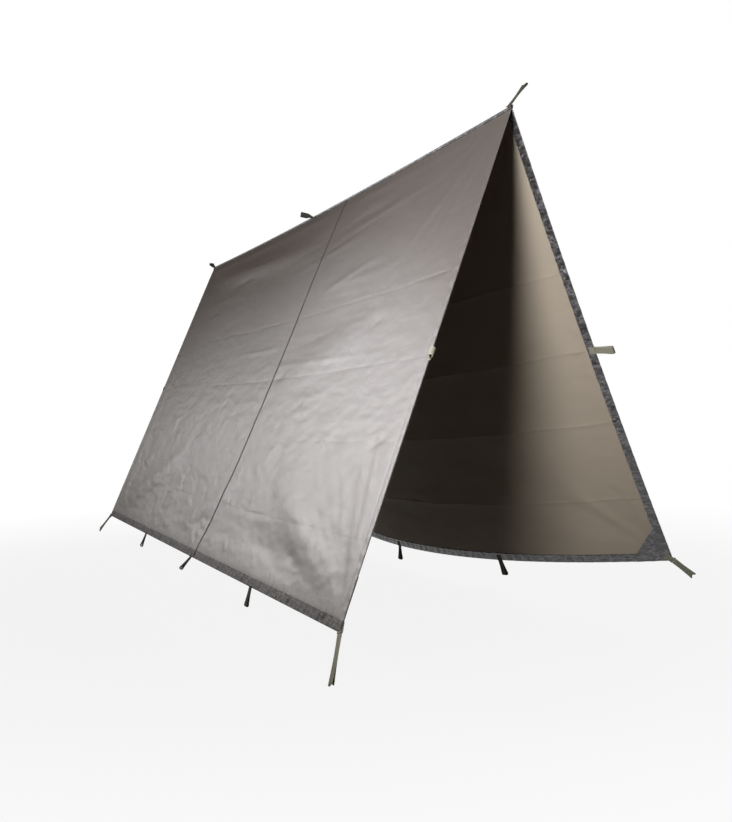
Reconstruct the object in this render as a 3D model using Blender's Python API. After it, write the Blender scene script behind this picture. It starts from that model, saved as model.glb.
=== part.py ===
"""Camping tarp: a square coated sheet pitched over its ridge, with a webbing loop at each fastening point.

The origin is the front end of the ridge, which a line or a pole end holds up.
+Y runs back along the ridge, -X is the left slope seen from the open front, and +Z is up.
A place on a slope is given as on the flat sheet: y back from the front edge, and d down from the ridge.
"""

import math
from collections import Counter
from dataclasses import dataclass

import bmesh
import bpy
from mathutils import Matrix, Vector

# The sheet, as it was cut and sewn
SHEET_LENGTH = 3.0
SLOPE_LENGTH = 1.5
FABRIC = 0.0008
HEM_WIDTH = 0.030
HEM_FOLD = 0.0008
PATCH_LEG = 0.120
PATCH_FABRIC = 0.0008
SEAM_AT_RIDGE = 1.125
SEAM_AT_HEM = 1.470
SEAM_WIDTH = 0.012
SEAM_FOLD = 0.0010

# The ridge
RIDGE_SLACK = 0.010
RIDGE_SAG = 0.015
RIDGE_ROLL_RADIUS = 0.005
RIDGE_ROLL_SIDES = 12
RIDGE_STATIONS = 18

# Webbing
WEBBING_WIDTH = 0.022
WEBBING = 0.0015
SLACK_EYE_RADIUS = 0.008
SLACK_EYE_SIDES = 7
PULLED_EYE_RADIUS = 0.005
PULLED_EYE_SIDES = 5
NECK_SIDES = 4
STRANDS_PART_AT = 0.006
SMALL_LOOP = 0.060
LEFT_CORNER_LOOP = 0.126
RIGHT_CORNER_LOOP = 0.072
RIDGE_FRONT_LOOP = 0.084
RIDGE_CENTRE_LOOP = 0.050
TAB_REACH = 0.020
CORNER_TAB_REACH = 0.028
RIDGE_TAB_WIDTH = 0.012

# Clearances
GAP = 0.0003
TAB_SEAT = 0.0005

# The way the cloth hangs
BELLY = 0.012
CALM_EDGE = 0.120
PANEL_BAY = 0.085
SURFACE_STEP = 0.001


@dataclass(frozen=True)
class Fold:
    """A soft fold along a line on the flat sheet, from (y, d) to (y, d). It stands height proud of the cloth."""

    start: tuple
    end: tuple
    height: float
    width: float

    def rise(self, y, d):
        along = Vector(self.end) - Vector(self.start)
        away = Vector((y, d)) - Vector(self.start)
        share = away.dot(along) / along.length_squared
        if not 0.0 < share < 1.0:
            return 0.0
        off_line = (away - along * share).length
        return self.height * math.sin(math.pi * share) * math.exp(-((off_line / self.width) ** 2))


def flat_place(back, down):
    """A place on the flat sheet, from its shares of the sheet's length and of the slope's."""
    return (SHEET_LENGTH * back, SLOPE_LENGTH * down)


@dataclass(frozen=True)
class Slope:
    """One side of the sheet, from the ridge to its bottom hem."""

    name: str
    side: int
    front_spread: float
    rear_spread: float
    front_skew: float
    rear_skew: float
    hem_inward: float
    hem_drop: float
    edge_hollow: float
    folds: tuple


LEFT = Slope(
    name="left",
    side=-1,
    front_spread=math.radians(22.2),
    rear_spread=math.radians(24.2),
    front_skew=-0.015,
    rear_skew=-0.020,
    hem_inward=0.030,
    hem_drop=0.018,
    edge_hollow=0.0,
    folds=(
        Fold(start=flat_place(0.95, 0.07), end=flat_place(0.40, 0.11), height=0.006, width=0.050),
        Fold(start=flat_place(0.40, 0.48), end=flat_place(0.15, 0.42), height=0.004, width=0.055),
        Fold(start=flat_place(0.01, 0.98), end=flat_place(0.30, 0.75), height=0.005, width=0.050),
        Fold(start=flat_place(0.01, 0.99), end=flat_place(0.35, 0.88), height=-0.004, width=0.040),
        Fold(start=flat_place(0.98, 0.98), end=flat_place(0.70, 0.70), height=0.005, width=0.060),
        Fold(start=flat_place(0.62, 0.95), end=flat_place(0.42, 0.78), height=0.004, width=0.050),
    ),
)
RIGHT = Slope(
    name="right",
    side=1,
    front_spread=math.radians(26.5),
    rear_spread=math.radians(26.5),
    front_skew=0.125,
    rear_skew=0.030,
    hem_inward=0.245,
    hem_drop=0.107,
    edge_hollow=0.015,
    folds=(
        Fold(start=flat_place(0.00, 0.49), end=flat_place(0.75, 0.50), height=-0.004, width=0.045),
        Fold(start=flat_place(0.00, 0.67), end=flat_place(0.75, 0.66), height=-0.004, width=0.045),
        Fold(start=flat_place(0.00, 0.84), end=flat_place(0.75, 0.83), height=-0.004, width=0.045),
        Fold(start=flat_place(0.01, 0.98), end=flat_place(0.27, 0.67), height=0.006, width=0.055),
        Fold(start=flat_place(0.99, 0.98), end=flat_place(0.73, 0.67), height=0.006, width=0.055),
    ),
)
SLOPES = (LEFT, RIGHT)

# Colours, linear, with roughness
MATERIALS = {
    "coated_fabric": ((0.135, 0.122, 0.108, 1.0), 0.42),
    "hem_fabric": ((0.085, 0.080, 0.082, 1.0), 0.50),
    "webbing": ((0.270, 0.270, 0.205, 1.0), 0.85),
}


def remove_everything():
    for thing in list(bpy.data.objects):
        bpy.data.objects.remove(thing, do_unlink=True)


def material(name):
    """The Principled material of this name, made once."""
    found = bpy.data.materials.get(name)
    if found:
        return found
    colour, roughness = MATERIALS[name]
    made = bpy.data.materials.new(name)
    made.use_nodes = True
    shader = made.node_tree.nodes["Principled BSDF"]
    shader.inputs["Base Color"].default_value = colour
    shader.inputs["Roughness"].default_value = roughness
    shader.inputs["Metallic"].default_value = 0.0
    return made


def add_object(name, mesh_data, material_name, place=None):
    """Links an object for a bmesh, with its faces turned outwards."""
    bmesh.ops.recalc_face_normals(mesh_data, faces=mesh_data.faces)
    mesh = bpy.data.meshes.new(name)
    mesh_data.to_mesh(mesh)
    mesh_data.free()
    mesh.materials.append(material(material_name))
    made = bpy.data.objects.new(name, mesh)
    made.matrix_world = place or Matrix.Identity(4)
    bpy.context.scene.collection.objects.link(made)
    return made


# The surface of the pitched sheet


def ridge_span():
    return SHEET_LENGTH - RIDGE_SLACK


def arch(share):
    """0 at both ends and 1 in the middle."""
    return 4.0 * share * (1.0 - share)


def ridge_point(y):
    share = y / SHEET_LENGTH
    return Vector((0.0, ridge_span() * share, -RIDGE_SAG * arch(share)))


def corner_point(slope, rear):
    """A bottom corner, one slope length from its end of the ridge."""
    spread = slope.rear_spread if rear else slope.front_spread
    skew = slope.rear_skew if rear else slope.front_skew
    fall = math.sqrt(SLOPE_LENGTH**2 - skew**2)
    top = ridge_point(SHEET_LENGTH if rear else 0.0)
    return top + Vector((slope.side * fall * math.sin(spread), skew, -fall * math.cos(spread)))


def hem_point(slope, y):
    share = y / SHEET_LENGTH
    straight = corner_point(slope, False).lerp(corner_point(slope, True), share)
    return straight + Vector((-slope.side * slope.hem_inward, 0.0, -slope.hem_drop)) * arch(share)


def taut_point(slope, y, d):
    """The sheet without its belly and folds."""
    share = d / SLOPE_LENGTH
    place = ridge_point(y).lerp(hem_point(slope, y), share)
    place.y += slope.edge_hollow * arch(share) * (1.0 - y / SHEET_LENGTH) ** 3
    return place


def tangents(slope, y, d):
    """Unit vectors back along the sheet, down it, and out of its outer face."""
    back = taut_point(slope, y + SURFACE_STEP, d) - taut_point(slope, y - SURFACE_STEP, d)
    down = taut_point(slope, y, d + SURFACE_STEP) - taut_point(slope, y, d - SURFACE_STEP)
    outward = back.cross(down) * slope.side
    return back.normalized(), down.normalized(), -outward.normalized()


def calm(distance):
    """0 at an edge, where the hem or the ridge holds the cloth flat, rising smoothly to 1."""
    share = min(max(distance / CALM_EDGE, 0.0), 1.0)
    return share * share * (3.0 - 2.0 * share)


def relief(slope, y, d):
    """How far the belly and the folds lift the cloth off the taut sheet, outwards."""
    belly = -BELLY * math.sin(math.pi * y / SHEET_LENGTH) * math.sin(math.pi * d / SLOPE_LENGTH)
    folds = sum(fold.rise(y, d) for fold in slope.folds)
    inside = calm(y - HEM_WIDTH) * calm(SHEET_LENGTH - HEM_WIDTH - y)
    inside *= calm(d - HEM_WIDTH) * calm(SLOPE_LENGTH - HEM_WIDTH - d)
    return (belly + folds) * inside


def sheet_point(slope, y, d, depth):
    """A point depth inside the sheet's outer face."""
    return taut_point(slope, y, d) + tangents(slope, y, d)[2] * (relief(slope, y, d) - depth)


# The sewing lines: a column runs down the sheet, and may lean as the cross seam does


def evenly(start, end, largest_step):
    """Points from start to end, both kept, no more than about largest_step apart."""
    count = max(1, round(abs(end - start) / largest_step))
    return [start + (end - start) * k / count for k in range(count + 1)]


def leaning(start, end, largest_step):
    """Columns from one (y at the ridge, y at the hem) to another."""
    widest = max(abs(end[0] - start[0]), abs(end[1] - start[1]))
    return [
        (start[0] + (end[0] - start[0]) * k, start[1] + (end[1] - start[1]) * k)
        for k in evenly(0.0, 1.0, largest_step / widest)
    ]


def seam_column(offset):
    return (SEAM_AT_RIDGE + offset, SEAM_AT_HEM + offset)


def front_columns():
    """From the front edge to the near side of the cross seam."""
    edge = [(0.0, 0.0), (HEM_WIDTH, HEM_WIDTH)]
    return edge + leaning((PATCH_LEG, PATCH_LEG), seam_column(-SEAM_WIDTH / 2), PANEL_BAY)


def rear_columns():
    """From the far side of the cross seam to the rear edge."""
    patch_line = SHEET_LENGTH - PATCH_LEG
    hem_line = SHEET_LENGTH - HEM_WIDTH
    bays = leaning(seam_column(SEAM_WIDTH / 2), (patch_line, patch_line), PANEL_BAY)
    return bays + [(hem_line, hem_line), (SHEET_LENGTH, SHEET_LENGTH)]


def ridge_start():
    return RIDGE_ROLL_RADIUS + GAP


def panel_rows():
    bays = evenly(ridge_start(), SLOPE_LENGTH - PATCH_LEG, PANEL_BAY)
    return bays + [SLOPE_LENGTH - HEM_WIDTH, SLOPE_LENGTH]


def edge_rows():
    """The rows of a front or rear hem, which stops just above the bottom hem."""
    return panel_rows()[:-2] + [SLOPE_LENGTH - HEM_WIDTH - 2 * GAP]


def cell_corners(column, row, falling):
    """The two triangles of a grid cell, cut along the diagonal that falls to the rear or to the front."""
    a, b = (column, row), (column + 1, row)
    c, d = (column + 1, row + 1), (column, row + 1)
    if falling:
        return [(a, b, c), (a, c, d)]
    return [(a, b, d), (b, c, d)]


def all_cells(columns, rows, falls):
    """Every triangle of a grid. falls says for each column of cells which way it is cut."""
    return [
        triangle
        for column in range(len(columns) - 1)
        for row in range(len(rows) - 1)
        for triangle in cell_corners(column, row, falls[column])
    ]


def cloth_solid(name, slope, columns, rows, triangles, depth, thickness, material_name):
    """A closed piece of cloth, thickness thick, that follows the sheet at depth below its outer face."""
    mesh_data = bmesh.new()
    layers = []
    for layer_depth in (depth, depth + thickness):
        layer = {}
        for column, row in {corner for triangle in triangles for corner in triangle}:
            top_y, hem_y = columns[column]
            d = rows[row]
            y = top_y + (hem_y - top_y) * d / SLOPE_LENGTH
            layer[column, row] = mesh_data.verts.new(sheet_point(slope, y, d, layer_depth))
        layers.append(layer)
    outer, inner = layers
    for a, b, c in triangles:
        mesh_data.faces.new((outer[a], outer[b], outer[c]))
        mesh_data.faces.new((inner[c], inner[b], inner[a]))
    sides = [edge for a, b, c in triangles for edge in ((a, b), (b, c), (c, a))]
    uses = Counter(frozenset(edge) for edge in sides)
    for a, b in sides:
        if uses[frozenset((a, b))] == 1:
            mesh_data.faces.new((outer[a], inner[a], outer[b]))
            mesh_data.faces.new((outer[b], inner[a], inner[b]))
    return add_object(name, mesh_data, material_name)


# The pieces of a slope


def add_panels(slope):
    """Two widths of cloth, which meet under the cross seam."""
    rows = panel_rows()
    front = front_columns() + [seam_column(-GAP)]
    rear = [seam_column(GAP)] + rear_columns()
    for end, columns, falling in (("front", front, True), ("rear", rear, False)):
        triangles = all_cells(columns, rows, [falling] * (len(columns) - 1))
        name = f"{slope.name}_{end}_panel"
        cloth_solid(name, slope, columns, rows, triangles, 0.0, FABRIC, "coated_fabric")


def add_cross_seam(slope):
    """The felled seam, a narrow fold sewn over the join on the outer face."""
    columns = [seam_column(-SEAM_WIDTH / 2), seam_column(0.0), seam_column(SEAM_WIDTH / 2)]
    rows = panel_rows()
    triangles = all_cells(columns, rows, [True, False])
    depth = -GAP - SEAM_FOLD
    cloth_solid(f"{slope.name}_cross_seam", slope, columns, rows, triangles, depth, SEAM_FOLD, "coated_fabric")


def add_hems(slope):
    """The sheet's edges, turned in and sewn down on the inner face."""
    depth = FABRIC + GAP
    front, rear = front_columns(), rear_columns()
    bottom_rows = [SLOPE_LENGTH - HEM_WIDTH, SLOPE_LENGTH]
    falls = [True] * len(front) + [False] * (len(rear) - 1)
    bottom = all_cells(front + rear, bottom_rows, falls)
    cloth_solid(
        f"{slope.name}_bottom_hem", slope, front + rear, bottom_rows, bottom, depth, HEM_FOLD, "hem_fabric"
    )
    for end, columns, falling in (("front", front[:2], True), ("rear", rear[-2:], False)):
        triangles = all_cells(columns, edge_rows(), [falling])
        name = f"{slope.name}_{end}_hem"
        cloth_solid(name, slope, columns, edge_rows(), triangles, depth, HEM_FOLD, "hem_fabric")


def add_corner_patches(slope):
    """A doubled corner, cut off square to the diagonal, inside each bottom corner."""
    depth = FABRIC + HEM_FOLD + 2 * GAP
    rows = [SLOPE_LENGTH - PATCH_LEG, SLOPE_LENGTH - HEM_WIDTH, SLOPE_LENGTH]
    for end, columns, falling in (("front", front_columns()[:3], True), ("rear", rear_columns()[-3:], False)):
        cut_off = (2, 0) if falling else (0, 0)
        triangles = [t for t in all_cells(columns, rows, [falling] * 2) if cut_off not in t]
        name = f"{slope.name}_{end}_corner_patch"
        cloth_solid(name, slope, columns, rows, triangles, depth, PATCH_FABRIC, "hem_fabric")


# Webbing


@dataclass(frozen=True)
class Anchor:
    """Where a loop is sewn on: a point on the outer face at the very edge, and its directions."""

    edge: Vector
    away: Vector
    across: Vector
    outward: Vector
    stack: float
    reach: float


def anchor_at(slope, y, d, away, stack, reach):
    outward = tangents(slope, y, d)[2]
    away = (away - outward * away.dot(outward)).normalized()
    across = outward.cross(away).normalized()
    return Anchor(sheet_point(slope, y, d, 0.0), away, across, outward, stack, reach)


def hem_stack():
    return FABRIC + GAP + HEM_FOLD


def corner_stack():
    return hem_stack() + GAP + PATCH_FABRIC


def square_to(edge, direction):
    """The direction with what runs along the edge taken out."""
    return direction - edge * direction.dot(edge)


def hem_anchor(slope, y):
    back, down, _ = tangents(slope, y, SLOPE_LENGTH)
    return anchor_at(slope, y, SLOPE_LENGTH, square_to(back, down), hem_stack(), TAB_REACH)


def edge_anchor(slope, rear):
    """The middle of a slope's front or rear edge."""
    y = SHEET_LENGTH if rear else 0.0
    back, down, _ = tangents(slope, y, SLOPE_LENGTH / 2)
    away = square_to(down, back if rear else -back)
    return anchor_at(slope, y, SLOPE_LENGTH / 2, away, hem_stack(), TAB_REACH)


def corner_anchor(slope, rear, spread):
    """A bottom corner, whose loop points spread away from straight down the sheet."""
    y = SHEET_LENGTH if rear else 0.0
    back, down, _ = tangents(slope, y, SLOPE_LENGTH)
    along = back if rear else -back
    away = down * math.cos(spread) + along * math.sin(spread)
    return anchor_at(slope, y, SLOPE_LENGTH, away, corner_stack(), CORNER_TAB_REACH)


def extrude_profile(faces_2d, points_2d, width):
    """A bmesh of a flat profile in XY, given as faces over its points, made width thick along Z."""
    mesh_data = bmesh.new()
    verts = [mesh_data.verts.new((x, y, -width / 2)) for x, y in points_2d]
    faces = [mesh_data.faces.new([verts[k] for k in face]) for face in faces_2d]
    grown = bmesh.ops.extrude_face_region(mesh_data, geom=faces, use_keep_orig=True)["geom"]
    moved = [element for element in grown if isinstance(element, bmesh.types.BMVert)]
    bmesh.ops.translate(mesh_data, verts=moved, vec=(0.0, 0.0, width))
    return mesh_data


def axes_matrix(x_axis, y_axis, z_axis, place):
    turned = Matrix((x_axis, y_axis, z_axis)).transposed().to_4x4()
    turned.translation = place
    return turned


def add_edge_tab(name, anchor):
    """The ends of the webbing, sewn astride the hem: a U in section, with its bridge past the edge."""
    tip = TAB_SEAT + WEBBING
    high = TAB_SEAT
    low = -anchor.stack - TAB_SEAT
    points = [
        (-anchor.reach, high + WEBBING),
        (tip, high + WEBBING),
        (tip, low - WEBBING),
        (-anchor.reach, low - WEBBING),
        (-anchor.reach, low),
        (TAB_SEAT, low),
        (TAB_SEAT, high),
        (-anchor.reach, high),
    ]
    faces = [(0, 1, 6, 7), (1, 2, 5, 6), (2, 3, 4, 5)]
    place = axes_matrix(anchor.away, anchor.outward, anchor.away.cross(anchor.outward), anchor.edge)
    return add_object(name, extrude_profile(faces, points, WEBBING_WIDTH), "webbing", place)


def edge_neck(anchor):
    """The line about which a loop turns, just past its tab and level with the middle of the hem."""
    past = TAB_SEAT + WEBBING + GAP + WEBBING
    return anchor.edge + anchor.away * past - anchor.outward * (anchor.stack / 2)


@dataclass(frozen=True)
class Eye:
    """The round end of a loop: slack as it was sewn, or pulled narrow by a line or a peg."""

    radius: float
    sides: int


SLACK_EYE = Eye(SLACK_EYE_RADIUS, SLACK_EYE_SIDES)
PULLED_EYE = Eye(PULLED_EYE_RADIUS, PULLED_EYE_SIDES)


def loop_profile(length, eye):
    """A teardrop of webbing: a double neck with a round end, two strands that part, and a round eye.

    x runs from the neck's axis to the far end. Returns the profile's points and its faces.
    """
    rim = eye.radius + WEBBING
    belly = length - rim
    lean = math.acos(-eye.radius / belly)
    belly_turns = [-lean + 2 * lean * k / eye.sides for k in range(eye.sides + 1)]
    neck_turns = [lean + 2 * (math.pi - lean) * k / NECK_SIDES for k in range(NECK_SIDES + 1)]
    outside = [(belly + rim * math.cos(a), rim * math.sin(a)) for a in belly_turns]
    neck = [(WEBBING * math.cos(a), WEBBING * math.sin(a)) for a in neck_turns]
    inside = [(belly + eye.radius * math.cos(a), eye.radius * math.sin(a)) for a in belly_turns]
    part = STRANDS_PART_AT * math.tan(lean - math.pi / 2)
    parting = [(STRANDS_PART_AT, part), (STRANDS_PART_AT, -part)]
    points = outside + neck + inside + parting
    neck_at = len(outside)
    inside_at = neck_at + len(neck)
    parting_at = inside_at + len(inside)
    faces = [(k, k + 1, inside_at + k + 1, inside_at + k) for k in range(eye.sides)]
    faces.append((eye.sides, neck_at, parting_at, inside_at + eye.sides))
    faces.append((0, inside_at, parting_at + 1, neck_at + NECK_SIDES))
    faces.append(tuple(range(neck_at, neck_at + NECK_SIDES + 1)) + (parting_at + 1, parting_at))
    return points, faces


def add_loop(name, neck, direction, across, length, eye):
    """A loop whose neck turns about the line through neck along across, and which points along direction."""
    direction = direction.normalized()
    points, faces = loop_profile(length, eye)
    place = axes_matrix(direction, across.cross(direction), across, neck)
    return add_object(name, extrude_profile(faces, points, WEBBING_WIDTH), "webbing", place)


def swung(anchor, turn):
    """The direction away from the edge, turned about the edge by turn. Positive turns it outwards."""
    return anchor.away * math.cos(turn) + anchor.outward * math.sin(turn)


# How the loops lie in this pitch, in degrees: turned out of the cloth's plane, or off straight down in it
HEM_LOOP_PLACES = {"front": 0.25 * SHEET_LENGTH, "middle": 0.5 * SHEET_LENGTH, "rear": 0.75 * SHEET_LENGTH}
HEM_LOOP_TURNS = {
    "left": {"front": -7.0, "middle": 22.0, "rear": 0.0},
    "right": {"front": 1.0, "middle": -15.0, "rear": -8.0},
}
EDGE_LOOP_TURNS = {
    "left": {"front": 27.0, "rear": -60.0},
    "right": {"front": 6.0, "rear": 18.0},
}
CORNER_LOOP_SPREADS = {
    "left": {"front": 21.0, "rear": 45.0},
    "right": {"front": 38.0, "rear": 45.0},
}
CORNER_LOOPS = {"left": (LEFT_CORNER_LOOP, PULLED_EYE), "right": (RIGHT_CORNER_LOOP, SLACK_EYE)}
RIDGE_FRONT_LEAN = math.radians(40.0)
RIDGE_CENTRE_LEAN = math.radians(82.0)
RIDGE_REAR_RISE = math.radians(26.0)


def add_tab_and_loop(name, anchor, turn, length, eye):
    """One fastening point. turn is in degrees, and positive where the loop is turned outwards."""
    add_edge_tab(f"{name}_tab", anchor)
    direction = swung(anchor, math.radians(turn))
    add_loop(f"{name}_loop", edge_neck(anchor), direction, anchor.across, length, eye)


def add_webbing(slope):
    """The seven fastening points of a slope."""
    for place, y in HEM_LOOP_PLACES.items():
        turn = HEM_LOOP_TURNS[slope.name][place]
        add_tab_and_loop(f"{slope.name}_hem_{place}", hem_anchor(slope, y), turn, SMALL_LOOP, SLACK_EYE)
    for end in ("front", "rear"):
        name = f"{slope.name}_{end}_edge"
        edge = edge_anchor(slope, end == "rear")
        add_tab_and_loop(name, edge, EDGE_LOOP_TURNS[slope.name][end], SMALL_LOOP, SLACK_EYE)
        name = f"{slope.name}_{end}_corner"
        spread = math.radians(CORNER_LOOP_SPREADS[slope.name][end])
        corner = corner_anchor(slope, end == "rear", spread)
        add_tab_and_loop(name, corner, 0.0, *CORNER_LOOPS[slope.name])


# The ridge


def add_ridge_roll():
    """The cloth along the ridge, rolled and sewn into a round welt that the slopes hang from."""
    mesh_data = bmesh.new()
    corner_radius = RIDGE_ROLL_RADIUS / math.cos(math.pi / RIDGE_ROLL_SIDES)
    turns = [(k + 0.5) * 2 * math.pi / RIDGE_ROLL_SIDES for k in range(RIDGE_ROLL_SIDES)]
    rings = []
    for y in evenly(0.0, SHEET_LENGTH, SHEET_LENGTH / RIDGE_STATIONS):
        centre = ridge_point(y)
        ring = [
            mesh_data.verts.new(centre + Vector((corner_radius * math.sin(a), 0.0, corner_radius * math.cos(a))))
            for a in turns
        ]
        rings.append(ring)
    for near, far in zip(rings, rings[1:]):
        for k in range(RIDGE_ROLL_SIDES):
            after = (k + 1) % RIDGE_ROLL_SIDES
            mesh_data.faces.new((near[k], near[after], far[after], far[k]))
    mesh_data.faces.new(rings[0])
    mesh_data.faces.new(list(reversed(rings[-1])))
    return add_object("ridge_roll", mesh_data, "coated_fabric")


def add_flat_tab(name, low, high):
    """A flat tab of webbing between two opposite corners."""
    mesh_data = bmesh.new()
    bmesh.ops.create_cube(mesh_data, size=1.0)
    bmesh.ops.scale(mesh_data, verts=mesh_data.verts, vec=high - low)
    bmesh.ops.translate(mesh_data, verts=mesh_data.verts, vec=(low + high) / 2)
    return add_object(name, mesh_data, "webbing")


def add_ridge_webbing():
    """A loop at each end of the ridge and one in its middle, on flat tabs sewn along the roll."""
    top = Vector((0.0, 0.0, RIDGE_ROLL_RADIUS + TAB_SEAT))
    thick = Vector((0.0, 0.0, WEBBING))
    along = Vector((0.0, 1.0, 0.0))
    half = Vector((RIDGE_TAB_WIDTH / 2, WEBBING_WIDTH / 2, 0.0))
    front = ridge_point(0.0) + top + along * (WEBBING_WIDTH / 2)
    centre = ridge_point(SHEET_LENGTH / 2) + top
    rear = ridge_point(SHEET_LENGTH) + top
    add_flat_tab("ridge_front_tab", front - half, front + half + thick)
    add_flat_tab("ridge_centre_tab", centre - half, centre + half + thick)
    low = rear - Vector((WEBBING_WIDTH / 2, TAB_REACH, 0.0))
    add_flat_tab("ridge_rear_tab", low, rear + thick + Vector((WEBBING_WIDTH / 2, 0.0, 0.0)))
    turning = GAP + WEBBING
    above = thick + Vector((0.0, 0.0, turning))
    front_lean = Vector((math.sin(RIDGE_FRONT_LEAN), 0.0, math.cos(RIDGE_FRONT_LEAN)))
    centre_lean = Vector((-math.sin(RIDGE_CENTRE_LEAN), 0.0, math.cos(RIDGE_CENTRE_LEAN)))
    rear_rise = Vector((0.0, math.cos(RIDGE_REAR_RISE), math.sin(RIDGE_REAR_RISE)))
    add_loop("ridge_front_loop", front + above, front_lean, along, RIDGE_FRONT_LOOP, PULLED_EYE)
    add_loop("ridge_centre_loop", centre + above, centre_lean, along, RIDGE_CENTRE_LOOP, PULLED_EYE)
    past = thick / 2 + along * turning
    across = Vector((1.0, 0.0, 0.0))
    add_loop("ridge_rear_loop", rear + past, rear_rise, across, SMALL_LOOP, SLACK_EYE)


def main():
    remove_everything()
    add_ridge_roll()
    add_ridge_webbing()
    for slope in SLOPES:
        add_panels(slope)
        add_cross_seam(slope)
        add_hems(slope)
        add_corner_patches(slope)
        add_webbing(slope)


main()
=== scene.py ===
"""The looks of the camping tarp: its cloth, hems, seams and webbing, its materials, light and camera."""

import math
from dataclasses import dataclass
from itertools import combinations

import bmesh
import bpy
import numpy as np
from mathutils import Matrix, Vector


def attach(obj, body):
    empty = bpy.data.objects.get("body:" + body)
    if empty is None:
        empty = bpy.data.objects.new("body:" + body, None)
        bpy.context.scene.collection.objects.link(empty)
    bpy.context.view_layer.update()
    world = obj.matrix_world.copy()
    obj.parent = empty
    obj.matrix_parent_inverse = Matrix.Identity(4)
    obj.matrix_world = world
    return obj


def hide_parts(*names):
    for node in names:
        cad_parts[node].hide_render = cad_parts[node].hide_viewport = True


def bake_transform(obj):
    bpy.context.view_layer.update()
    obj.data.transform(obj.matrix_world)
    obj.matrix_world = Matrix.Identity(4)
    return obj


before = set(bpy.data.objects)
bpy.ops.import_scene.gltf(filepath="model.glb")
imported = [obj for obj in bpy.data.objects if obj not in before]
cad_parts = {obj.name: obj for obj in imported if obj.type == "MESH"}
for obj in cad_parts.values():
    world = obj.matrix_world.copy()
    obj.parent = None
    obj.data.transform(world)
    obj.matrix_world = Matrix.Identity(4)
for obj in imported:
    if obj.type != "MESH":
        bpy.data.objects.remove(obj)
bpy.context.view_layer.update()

# The sheet and its webbing, in the sizes of the solids
SHEET_LENGTH = 3.0
SLOPE_LENGTH = 1.5
FABRIC = 0.0008
HEM_WIDTH = 0.030
HEM_FOLD = 0.0008
PATCH_LEG = 0.120
PATCH_FABRIC = 0.0008
SEAM_AT_RIDGE = 1.125
SEAM_AT_HEM = 1.470
SEAM_HALF = 0.0048
SEAM_FOLD = 0.0010
RIDGE_SLACK = 0.010
RIDGE_SAG = 0.015
RIDGE_ROLL_RADIUS = 0.005
WEBBING_WIDTH = 0.022
WEBBING = 0.0015
TAB_REACH = 0.020
CORNER_TAB_REACH = 0.028
RIDGE_TAB_WIDTH = 0.012
GAP = 0.0003
TAB_SEAT = 0.0005
BELLY = 0.012
CALM_EDGE = 0.120
HEM_LOOP_PLACES = {"front": 0.25 * SHEET_LENGTH, "middle": 0.5 * SHEET_LENGTH, "rear": 0.75 * SHEET_LENGTH}

# The hems' rows of stitches, as distances from the edge, and their threads
STITCH_ROWS = (0.0270, 0.0030)
STITCH_PITCH = 0.0036
THREAD_HALF = 0.00035


def bell(distance, width):
    """1 where the distance is 0, falling away softly over about this width."""
    return np.exp(-((distance / width) ** 2))


@dataclass(frozen=True)
class Fold:
    """A soft fold along a line from start to end, each a (y, d). It stands height proud of the cloth."""

    start: tuple
    end: tuple
    height: float
    width: float

    def rise(self, y, d):
        along = np.subtract(self.end, self.start)
        length = math.hypot(*along)
        away_y, away_d = y - self.start[0], d - self.start[1]
        share = np.clip((away_y * along[0] + away_d * along[1]) / length**2, 0.0, 1.0)
        off_line = (away_y * along[1] - away_d * along[0]) / length
        return self.height * np.sin(np.pi * share) * bell(off_line, self.width)


def long_fold(start, end, height, width):
    """A fold between two places, given as shares of the sheet's length and of the slope's."""
    size = (SHEET_LENGTH, SLOPE_LENGTH)
    return Fold(tuple(np.multiply(size, start)), tuple(np.multiply(size, end)), height, width)


@dataclass(frozen=True)
class Slope:
    """One side of the sheet. Its spreads, in degrees, and skews are of its front and rear corners."""

    name: str
    side: int
    seed: int
    spreads: tuple
    skews: tuple
    hem_inward: float
    hem_drop: float
    edge_hollow: float
    folds: tuple
    fans: tuple
    fan_strength: float
    crease_height: float
    slack: float
    drape_lines: int
    end_gather: float
    shoulder: float
    edge_loop_sway: float
    swell: float


# Where creases spread from: the place, the first and last heading in degrees, how many, and how far
LEFT_FANS = (
    ((0.004, 1.490), -76.0, -8.0, 11, 0.75),
    ((2.990, 1.490), -175.0, -95.0, 8, 0.45),
    *(((at, 1.490), -150.0, -30.0, 6, 0.18) for at in HEM_LOOP_PLACES.values()),
    ((0.010, 0.750), -50.0, 50.0, 4, 0.14),
    ((2.990, 0.750), 130.0, 230.0, 5, 0.16),
    ((0.010, 0.010), 14.0, 70.0, 7, 0.50),
    ((2.990, 0.010), 112.0, 168.0, 6, 0.50),
    ((1.500, 0.010), 25.0, 155.0, 5, 0.22),
)
RIGHT_FANS = (
    ((0.004, 1.490), -80.0, -8.0, 11, 0.50),
    ((2.990, 1.490), -175.0, -95.0, 9, 0.42),
    *(((at, 1.490), -150.0, -30.0, 6, 0.20) for at in HEM_LOOP_PLACES.values()),
    ((0.010, 0.750), -60.0, 60.0, 6, 0.18),
    ((2.990, 0.750), 120.0, 240.0, 5, 0.16),
    ((0.010, 0.010), 20.0, 80.0, 6, 0.45),
    ((2.990, 0.010), 100.0, 160.0, 5, 0.45),
)


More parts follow.
